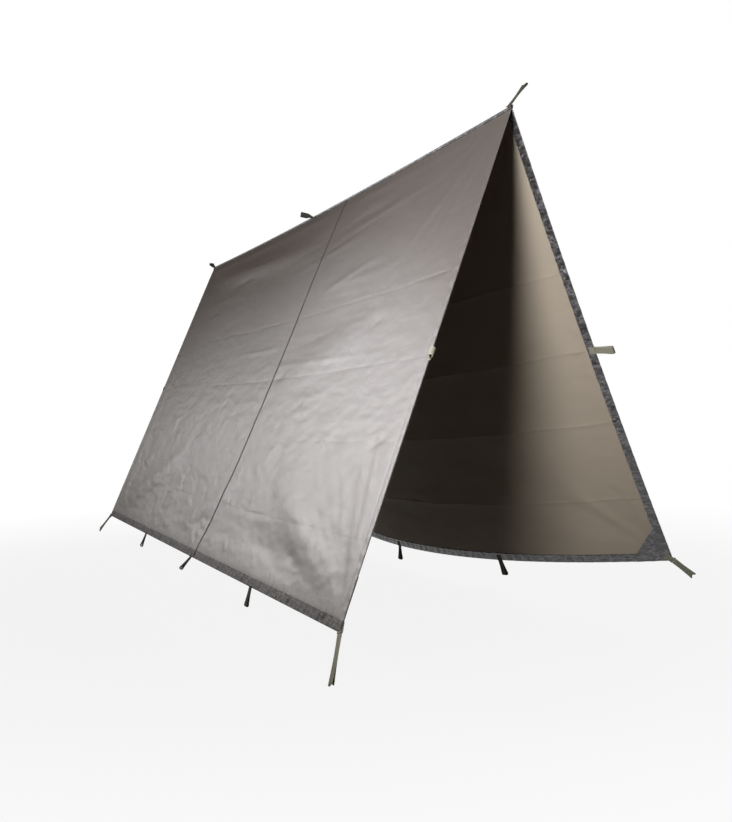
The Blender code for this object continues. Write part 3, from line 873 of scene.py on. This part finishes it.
def add_seam(slope):
    """The felled seam: a narrow fold on the outer face, stitched along both edges."""
    rows = cloth_rows()[1:]
    offset, d = grid(evenly(-SEAM_HALF, SEAM_HALF, SEAM_HALF / 3), rows)
    y = between(SEAM_AT_RIDGE, SEAM_AT_HEM, d / SLOPE_LENGTH) + offset
    seam = cloth_piece(f"{slope.name}_seam_cloth", slope, y, d, -GAP - SEAM_FOLD, SEAM_FOLD, (SEAM, SEAM))
    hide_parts(f"{slope.name}_cross_seam")
    bend_at_ridge(seam, slope)
    return seam


# Webbing

OUTER_TAIL = 0.0030
OUTER_BOX_START = 0.0025
# Where a tab's fold starts to bend, and how far the middle of the bend stands in from the corner
TAB_BEND = 0.0012
TAB_CORNER = (0.0004, 0.0003)
# How a loop's strands start at its neck, and where, as shares of its length, it draws in and has twisted
STRAND_START, STRAND_GAP, NECK = 0.0006, 0.0001, 0.0012
NOTCH_FROM, TWIST_REACH = 0.55, 0.6

DASH_PITCH = 0.0030
DASH_LENGTH = 0.0022
DASH_WIDTH = 0.0007
DASH_HEIGHT = 0.00040
DASH_CROWN = 0.62
BOX_INSET = 0.0030
FLAT_BOX_INSET = 0.002
SHARP_TURN = math.radians(50)
STITCH_SIDES = ((0, 1, 5, 4), (1, 2, 6, 5), (2, 3, 7, 6), (3, 0, 4, 7), (4, 5, 6, 7), (3, 2, 1, 0))

# How far each loop is turned, in degrees: out of the sheet on the hems and edges, and along it at the corners
LOOP_TURNS = {
    "left_hem": {"front": -7.0, "middle": 22.0, "rear": 0.0},
    "right_hem": {"front": 1.0, "middle": -15.0, "rear": -8.0},
    "left_edge": {"front": 27.0, "rear": -60.0},
    "right_edge": {"front": 6.0, "rear": 18.0},
    "left_corner": {"front": 21.0, "rear": 45.0},
    "right_corner": {"front": 38.0, "rear": 45.0},
}
CORNER_LOOPS = {"left": 0.126, "right": 0.072}
SMALL_LOOP = 0.060
RIDGE_FRONT_LOOP = 0.084
RIDGE_CENTRE_LOOP = 0.050
RIDGE_FRONT_LEAN = math.radians(40.0)
RIDGE_CENTRE_LEAN = math.radians(82.0)
RIDGE_REAR_RISE = math.radians(26.0)
# How far the rear tab's end stands short of the ridge's, so that its loop can turn down past it
RIDGE_TAB_SHORT = 0.0014
SHUT_EYE = 0.0022
NARROW_EYE = 0.0055
HEM_EYES = {"left": 0.0038, "right": NARROW_EYE}


@dataclass(frozen=True)
class Anchor:
    """Where a loop is sewn on: a point on the outer face at the very edge, and its directions."""

    edge: Vector
    away: Vector
    across: Vector
    outward: Vector
    stack: float
    reach: float


@dataclass(frozen=True)
class Set:
    """How a strap has set: its far end drawn in, twisted about its length, swayed aside, or pressed flat."""

    notch: float = 0.0
    twist: float = 0.0
    sway: float = 0.0
    flatten: float = 0.18


PULLED = Set(notch=0.006, flatten=0.75)
PULLED_AT_RIDGE = Set(notch=0.004, flatten=0.8)
LYING = Set(flatten=0.5, twist=math.radians(75.0))


def anchor_at(slope, y, d, spread=None):
    """The anchor at a place on the edge. A corner's loop is spread from down the sheet towards its end."""
    back, down, outward = (Vector(v) for v in tangents(slope, y, d))
    past = back if y > SHEET_LENGTH / 2 else -back
    stack, reach = FABRIC + GAP + HEM_FOLD, TAB_REACH
    if spread is not None:
        away = down * math.cos(spread) + past * math.sin(spread)
        stack, reach = stack + GAP + PATCH_FABRIC, CORNER_TAB_REACH
    elif d < SLOPE_LENGTH:
        away = past - down * past.dot(down)
    else:
        away = down - back * down.dot(back)
    away = (away - outward * away.dot(outward)).normalized()
    edge = Vector(taut_point(slope, y, d))
    return Anchor(edge, away, outward.cross(away).normalized(), outward, stack, reach)


def axes_matrix(x_axis, y_axis, z_axis, place):
    turned = Matrix((x_axis, y_axis, z_axis)).transposed().to_4x4()
    turned.translation = place
    return turned


def tube(rings, flat, caps):
    """A closed tube through rings of points. flat holds their flat places, and caps the faces of each end."""
    mesh_data = bmesh.new()
    uv = mesh_data.loops.layers.uv.new("sheet")
    rings = [[mesh_data.verts.new(point) for point in ring] for ring in rings]
    places = {vert: place for ring, row in zip(rings, flat) for vert, place in zip(ring, row)}
    count = len(rings[0])
    for near, after in zip(rings, rings[1:]):
        for k in range(count):
            mesh_data.faces.new((near[k], near[(k + 1) % count], after[(k + 1) % count], after[k]))
    for ring in (rings[0], rings[-1]):
        for cap in caps:
            mesh_data.faces.new([ring[k] for k in cap])
    bmesh.ops.recalc_face_normals(mesh_data, faces=mesh_data.faces)
    for face in mesh_data.faces:
        face.smooth = len(face.verts) == 4
        for corner in face.loops:
            corner[uv].uv = places[corner.vert]
    return mesh_data


def finished(name, mesh_data, *materials):
    mesh = bpy.data.meshes.new(name)
    mesh_data.to_mesh(mesh)
    mesh_data.free()
    for material in materials:
        mesh.materials.append(material)
    return add_object(name, mesh)


def add_stitched_box(mesh_data, near_x, far_x, width, level, facing):
    """A rectangle of stitches and its diagonals, each stitch a short raised thread."""
    low, high = -width / 2 + BOX_INSET, width / 2 - BOX_INSET
    corners = [Vector((x, level, z)) for x in (near_x, far_x) for z in (low, high)]
    rise = Vector((0.0, facing * DASH_HEIGHT, 0.0))
    for start, end in combinations(corners, 2):
        forward = (end - start).normalized()
        aside = forward.cross(Vector((0.0, 1.0, 0.0))) * (DASH_WIDTH / 2)
        for k in range(max(1, int((end - start).length / DASH_PITCH))):
            begin = start + forward * (k + 0.5) * DASH_PITCH - forward * DASH_LENGTH / 2
            finish = begin + forward * DASH_LENGTH
            foot = [begin - aside, finish - aside, finish + aside, begin + aside]
            middle = (begin + finish) / 2
            crown = [middle + (corner - middle) * DASH_CROWN + rise for corner in foot]
            verts = [mesh_data.verts.new(corner) for corner in foot + crown]
            made = [mesh_data.faces.new([verts[corner] for corner in side]) for side in STITCH_SIDES]
            bmesh.ops.recalc_face_normals(mesh_data, faces=made)
            for face in made:
                face.material_index = 1


def strap_ring(point, out, section, width, far, lie):
    """The strap's section about one point of its path, moved as the strap has set."""
    at_end = float(smooth((point[0] - far * NOTCH_FROM) / (far * (1.0 - NOTCH_FROM))))
    turn = lie.twist * float(smooth(point[0] / (far * TWIST_REACH)))
    ring = []
    for z, h in section:
        x = point[0] + out[0] * h + lie.notch * at_end * ((2 * abs(z)) ** 1.5 - 0.5)
        y, aside = point[1] + out[1] * h, z * width
        aside, y = aside * math.cos(turn) + y * math.sin(turn), y * math.cos(turn) - aside * math.sin(turn)
        ring.append((x, y, aside + lie.sway * max(point[0], 0.0)))
    return ring


def ribbon(name, path, width, place, material, lie=Set(), sewn=()):
    """A strap of rectangular section with soft edges, along a path in the local xy plane.

    sewn holds the boxes of stitching on it, as (near x, far x, y of the face, which way the face looks).
    """
    path = np.asarray(path, float)
    forward = unit(np.gradient(path, axis=0))
    normals = np.stack((-forward[:, 1], forward[:, 0]), axis=1)
    across = np.linspace(-0.5, 0.5, 9)
    half = np.where(np.abs(across) < 0.5, WEBBING / 2, WEBBING / 4)
    section = list(zip(across, half)) + list(zip(across[::-1], -half[::-1]))
    run = np.concatenate(([0.0], np.cumsum(np.linalg.norm(np.diff(path, axis=0), axis=1))))
    far = path[:, 0].max()
    rings = [strap_ring(point, out, section, width, far, lie) for point, out in zip(path, normals)]
    flat = [[(at, (z + 0.5) * width) for z, _ in section] for at in run]
    last = len(section) - 1
    caps = [(k, k + 1, last - 1 - k, last - k) for k in range(len(across) - 1)]
    mesh_data = tube(rings, flat, caps)
    for near_x, far_x, level, facing in sewn:
        add_stitched_box(mesh_data, near_x, far_x, width, level, facing)
    made = finished(name, mesh_data, material, THREAD)
    made.data.set_sharp_from_angle(angle=SHARP_TURN)
    made.matrix_world = place
    return made


def loop_path(length, eye, flatten):
    """The middle line of a loop: out along one strand, round the eye, and back along the other."""
    belly = length - eye - WEBBING
    lean = math.acos(-eye / belly)
    radius = eye + WEBBING / 2
    turns = np.linspace(lean, -lean, 25)
    eye_points = np.stack((belly + radius * np.cos(turns), radius * np.sin(turns)), axis=1)
    start = np.array((STRAND_START, WEBBING / 2 + STRAND_GAP))
    shares = np.linspace(0.0, 1.0, 14)[:-1, None]
    strand = between(start, eye_points[0], shares)
    strand[:, 1] -= flatten * np.sin(np.pi * shares[:, 0]) * (eye_points[0, 1] - start[1])
    neck = (-NECK, WEBBING / 2 - STRAND_GAP)
    strand = np.concatenate(([neck], strand))
    return np.concatenate((strand, eye_points, strand[::-1] * (1, -1)))


def add_loop(name, neck, direction, across, length, eye, material, lie=Set()):
    direction = direction.normalized()
    place = axes_matrix(direction, across.cross(direction), across, neck)
    path = loop_path(length, eye, lie.flatten)
    strap = ribbon(f"{name}_strap", path, WEBBING_WIDTH, place, material, lie)
    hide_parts(name)
    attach(strap, name)


def add_tab(name, anchor, body, material):
    """The strap's tails, sewn flat on the inner face, and the fold that wraps the edge and shows outside.

    The box of stitches that holds the tails comes through to the outer face.
    """
    tip = TAB_SEAT + WEBBING / 2
    low = -anchor.stack - tip
    top = [(x, tip) for x in np.linspace(-OUTER_TAIL, tip - TAB_BEND, 4)]
    corner_x, corner_y = TAB_CORNER
    fold = [
        (tip - corner_x, tip - corner_y),
        (tip, tip - TAB_BEND),
        (tip, low + TAB_BEND),
        (tip - corner_x, low + corner_y),
    ]
    bottom = [(x, low) for x in np.linspace(tip - TAB_BEND, -anchor.reach, 9)]
    place = axes_matrix(anchor.away, anchor.outward, anchor.away.cross(anchor.outward), anchor.edge)
    far = -anchor.reach + BOX_INSET
    outer_box = (far, -OUTER_TAIL - OUTER_BOX_START, 0.0, 1.0)
    inner_box = (far, -BOX_INSET, low - WEBBING / 2, -1.0)
    path, boxes = top + fold + bottom, (outer_box, inner_box)
    tab = ribbon(f"{name}_tails", path, WEBBING_WIDTH, place, material, sewn=boxes)
    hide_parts(f"{name}_tab")
    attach(tab, body)


def add_tab_and_loop(slope, name, anchor, turn, length, eye, material, lie=Set()):
    add_tab(name, anchor, f"{slope.name}_slope", material)
    turn = math.radians(turn)
    direction = anchor.away * math.cos(turn) + anchor.outward * math.sin(turn)
    past = TAB_SEAT + WEBBING + GAP + WEBBING
    neck = anchor.edge + anchor.away * past - anchor.outward * (anchor.stack / 2)
    add_loop(f"{name}_loop", neck, direction, anchor.across, length, eye, material, lie)


def add_webbing(slope):
    eye = HEM_EYES[slope.name]
    for place, y in HEM_LOOP_PLACES.items():
        name = f"{slope.name}_hem_{place}"
        turn = LOOP_TURNS[f"{slope.name}_hem"][place]
        hem = anchor_at(slope, y, SLOPE_LENGTH)
        add_tab_and_loop(slope, name, hem, turn, SMALL_LOOP, eye, DARK_STRAP)
    # the right slope's webbing is the copy darkened with painted shade
    strap = PALE_STRAP if slope is LEFT else SHADED_STRAP
    for end, y, forward in (("front", 0.0, 1.0), ("rear", SHEET_LENGTH, -1.0)):
        name = f"{slope.name}_{end}_edge"
        turn = LOOP_TURNS[f"{slope.name}_edge"][end]
        swayed = Set(sway=slope.side * slope.edge_loop_sway * forward)
        edge = anchor_at(slope, y, SLOPE_LENGTH / 2)
        add_tab_and_loop(slope, name, edge, turn, SMALL_LOOP, NARROW_EYE, strap, swayed)
        name = f"{slope.name}_{end}_corner"
        spread = math.radians(LOOP_TURNS[f"{slope.name}_corner"][end])
        corner = anchor_at(slope, y, SLOPE_LENGTH, spread)
        add_tab_and_loop(slope, name, corner, 0.0, CORNER_LOOPS[slope.name], SHUT_EYE, strap, PULLED)


# The ridge

ROLL_SIDES = 20
ROLL_LENGTH_STEP = 0.009
ROLL_GATHER = 0.00025
ROLL_INSET = 0.0002
ROLL_NARROWING = 0.85


def add_ridge():
    """The roll along the ridge, gathered a little by its stitching."""
    stations = evenly(0.0, SHEET_LENGTH, ROLL_LENGTH_STEP)
    gathers = ROLL_GATHER * wandering_wave(stations, 0.030, np.random.default_rng(5))
    turns = np.arange(ROLL_SIDES) * 2 * np.pi / ROLL_SIDES
    rings, flat = [], []
    for station, centre, extra in zip(stations, ridge_point(stations), gathers):
        radius = RIDGE_ROLL_RADIUS - ROLL_INSET + extra
        x, z = radius * ROLL_NARROWING * np.sin(turns), centre[2] + radius * np.cos(turns)
        rings.append(xyz(x, centre[1], z).tolist())
        flat.append([(station, radius * turn) for turn in turns])
    roll = finished("ridge_roll_cloth", tube(rings, flat, [range(ROLL_SIDES)]), HEM)
    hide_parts("ridge_roll")
    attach(roll, "ridge")


def flat_tab(name, middle, long_axis, short_axis, length, width):
    """A flat piece of webbing sewn along the roll."""
    path = [(x, 0.0) for x in np.linspace(-length / 2, length / 2, 9)]
    upward = long_axis.cross(short_axis)
    place = axes_matrix(long_axis, upward, long_axis.cross(upward), middle)
    reach = length / 2 - FLAT_BOX_INSET
    sewn = ((-reach, reach, WEBBING / 2, 1.0),)
    # dark webbing; on the ridge's front tab its darkness is painted shade
    tab = ribbon(f"{name}_tails", path, width, place, DARK_STRAP, sewn=sewn)
    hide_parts(f"{name}_tab")
    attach(tab, "ridge")


def leaning(angle, toward, up):
    return toward * math.sin(angle) + up * math.cos(angle)


def add_ridge_webbing():
    along, across, up = Vector((0.0, 1.0, 0.0)), Vector((1.0, 0.0, 0.0)), Vector((0.0, 0.0, 1.0))
    front, centre, rear = (
        Vector(ridge_point(y)) + up * (RIDGE_ROLL_RADIUS + TAB_SEAT)
        for y in (0.0, SHEET_LENGTH / 2, SHEET_LENGTH)
    )
    front += along * (WEBBING_WIDTH / 2)
    lift = up * (WEBBING / 2)
    rear_middle = rear - along * (TAB_REACH / 2 + RIDGE_TAB_SHORT / 2)
    for name, middle, length, width in (
        ("ridge_front", front, WEBBING_WIDTH, RIDGE_TAB_WIDTH),
        ("ridge_centre", centre, WEBBING_WIDTH, RIDGE_TAB_WIDTH),
        ("ridge_rear", rear_middle, TAB_REACH - RIDGE_TAB_SHORT, WEBBING_WIDTH),
    ):
        flat_tab(name, middle + lift, along, across, length, width)
    above = up * (WEBBING + GAP + WEBBING)
    behind = lift + along * (GAP + WEBBING)
    lean = leaning(RIDGE_FRONT_LEAN, across, up)
    fall = leaning(RIDGE_CENTRE_LEAN, -across, up)
    rise = leaning(RIDGE_REAR_RISE, up, along)
    # dark webbing on every ridge loop; on the front loop its darkness is painted shade
    for name, neck, direction, side, length, eye, lie in (
        ("ridge_front_loop", front + above, lean, along, RIDGE_FRONT_LOOP, SHUT_EYE, PULLED_AT_RIDGE),
        ("ridge_centre_loop", centre + above, fall, along, RIDGE_CENTRE_LOOP, SHUT_EYE, LYING),
        ("ridge_rear_loop", rear + behind, rise, across, SMALL_LOOP, NARROW_EYE, Set()),
    ):
        add_loop(name, neck, direction, side, length, eye, DARK_STRAP, lie)


# The camera, from the photograph

FOCAL_PIXELS = 921.7
IMAGE_WIDTH, IMAGE_HEIGHT = 732, 822
SENSOR = 36.0
CAMERA_PLACE = Vector((-1.478, -2.137, -0.834))
CAMERA_YAW = math.radians(25.23)
CAMERA_PITCH = math.radians(-0.03)
CAMERA_ROLL = math.radians(-1.38)


def add_camera():
    data = bpy.data.cameras.new("camera")
    data.sensor_width = SENSOR
    data.lens = FOCAL_PIXELS / max(IMAGE_WIDTH, IMAGE_HEIGHT) * SENSOR
    data.clip_start = 0.05
    data.clip_end = 100.0
    camera = add_object("camera", data)
    camera.matrix_world = (
        Matrix.Translation(CAMERA_PLACE)
        @ Matrix.Rotation(-CAMERA_YAW, 4, "Z")
        @ Matrix.Rotation(math.pi / 2 + CAMERA_PITCH, 4, "X")
        @ Matrix.Rotation(CAMERA_ROLL, 4, "Z")
    )
    bpy.context.scene.camera = camera


# The studio

FLOOR_HEIGHT = -1.522
FLOOR_SIZE = 80.0
OBJECT_MIDDLE = (0.0, 1.5)
# The floor is this white to the eye under the object, and wholly white further out, between these distances
FLOOR_LEAST_WHITE = 0.88
FLOOR_WHITENS = (1.2, 3.6)
WHITE = (1.0, 1.0, 1.0)
# The soft light that comes through the cloth, as a warm fill from all round
FILL_COLOUR = (1.0, 0.65, 0.40)
FILL_STRENGTH = 0.090
BACKDROP = (0.43, 0.90, 0.0)
BACKDROP_EDGE = (0.88, 0.97)
# The lamps: place, the point it looks at, size, power, spread in degrees, and colour
GLARE_COLOUR, SHEEN_COLOUR = (1.0, 0.985, 0.985), (0.97, 0.97, 1.0)
LAMPS = (
    ("key", (-2.50, -1.30, -0.45), (0.10, 0.35, -0.18), 1.0, 22.0, 60.0, WHITE),
    ("glare", (-4.98, 8.82, 1.63), (-0.36, 0.20, -0.95), 0.8, 11.0, 40.0, GLARE_COLOUR),
    ("side", (3.30, 2.60, 0.90), (0.45, 1.40, -0.80), 2.2, 54.0, 130.0, WHITE),
    ("rear", (1.20, 5.20, -0.90), (-0.30, 2.00, -0.80), 0.9, 14.0, 90.0, WHITE),
    ("sheen", (-2.06, 3.89, 1.06), (-0.29, 0.16, -0.76), 0.8, 0.44, 20.0, SHEEN_COLOUR),
)


def seen_rays(tree, gloss_share=None):
    """1 for the rays that show the background: from the camera, through glass, and off gloss by its share."""
    rays = add_node(tree, "ShaderNodeLightPath").outputs
    off_gloss = rays["Is Glossy Ray"]
    if gloss_share is not None:
        off_gloss = calculate(tree, "MULTIPLY", off_gloss, gloss_share)
    direct = calculate(tree, "MAXIMUM", rays["Is Camera Ray"], rays["Is Transmission Ray"])
    return calculate(tree, "MAXIMUM", direct, off_gloss)


def show_mix(tree, share, first, second, output):
    mix = add_node(tree, "ShaderNodeMixShader", share, first, second)
    put(tree, tree.nodes[output].inputs["Surface"], mix.outputs["Shader"])


def add_floor():
    """A pale floor that is white to the eye away from the object, and keeps a soft shadow near it."""
    bpy.ops.mesh.primitive_plane_add(size=FLOOR_SIZE, location=(*OBJECT_MIDDLE, FLOOR_HEIGHT))
    floor = bpy.context.active_object
    floor.name = "floor"
    made, tree, shader = new_material("pale_floor", (0.40, 0.40, 0.40), 0.9, 0.0)
    place = add_node(tree, "ShaderNodeTexCoord").outputs["Object"]
    reach = add_node(tree, "ShaderNodeVectorMath", place, operation="LENGTH")
    whiteness = eased(tree, reach.outputs["Value"], *FLOOR_WHITENS, FLOOR_LEAST_WHITE)
    share = calculate(tree, "MULTIPLY", seen_rays(tree), whiteness)
    white = add_node(tree, "ShaderNodeEmission", Strength=1.0, Color=WHITE)
    show_mix(tree, share, shader.outputs["BSDF"], white.outputs["Emission"], "Material Output")
    floor.data.materials.append(made)


def add_world():
    """White to the eye, and off gloss only behind the object. Otherwise it is a soft warm fill."""
    world = bpy.data.worlds.new("studio")
    bpy.context.scene.world = world
    world.use_nodes = True
    tree = world.node_tree
    fill = tree.nodes["Background"]
    put(tree, fill.inputs["Color"], FILL_COLOUR)
    put(tree, fill.inputs["Strength"], FILL_STRENGTH)
    white = add_node(tree, "ShaderNodeBackground", Strength=1.0, Color=WHITE)
    direction = add_node(tree, "ShaderNodeTexCoord").outputs["Generated"]
    behind = add_node(tree, "ShaderNodeVectorMath", direction, BACKDROP, operation="DOT_PRODUCT")
    seen = seen_rays(tree, eased(tree, behind.outputs["Value"], *BACKDROP_EDGE))
    show_mix(tree, seen, fill.outputs["Background"], white.outputs["Background"], "World Output")


def add_area_light(name, place, target, size, power, spread, colour):
    """A round lamp that the camera doesn't see."""
    data = bpy.data.lights.new(name, "AREA")
    data.shape = "DISK"
    data.size = size
    data.energy = power
    data.spread = math.radians(spread)
    data.color = colour
    lamp = add_object(name, data)
    lamp.location = place
    lamp.rotation_euler = (Vector(target) - Vector(place)).to_track_quat("-Z", "Y").to_euler()
    lamp.visible_camera = False


def add_studio():
    add_world()
    add_floor()
    for lamp in LAMPS:
        add_area_light(*lamp)


def main():
    bpy.context.scene.view_settings.view_transform = "Standard"
    add_camera()
    add_studio()
    for slope in SLOPES:
        cloth = add_cloth(slope)
        with_it = add_hem_strips(slope) + add_patches(slope) + [add_seam(slope)]
        add_webbing(slope)
    add_ridge()
    add_ridge_webbing()


main()
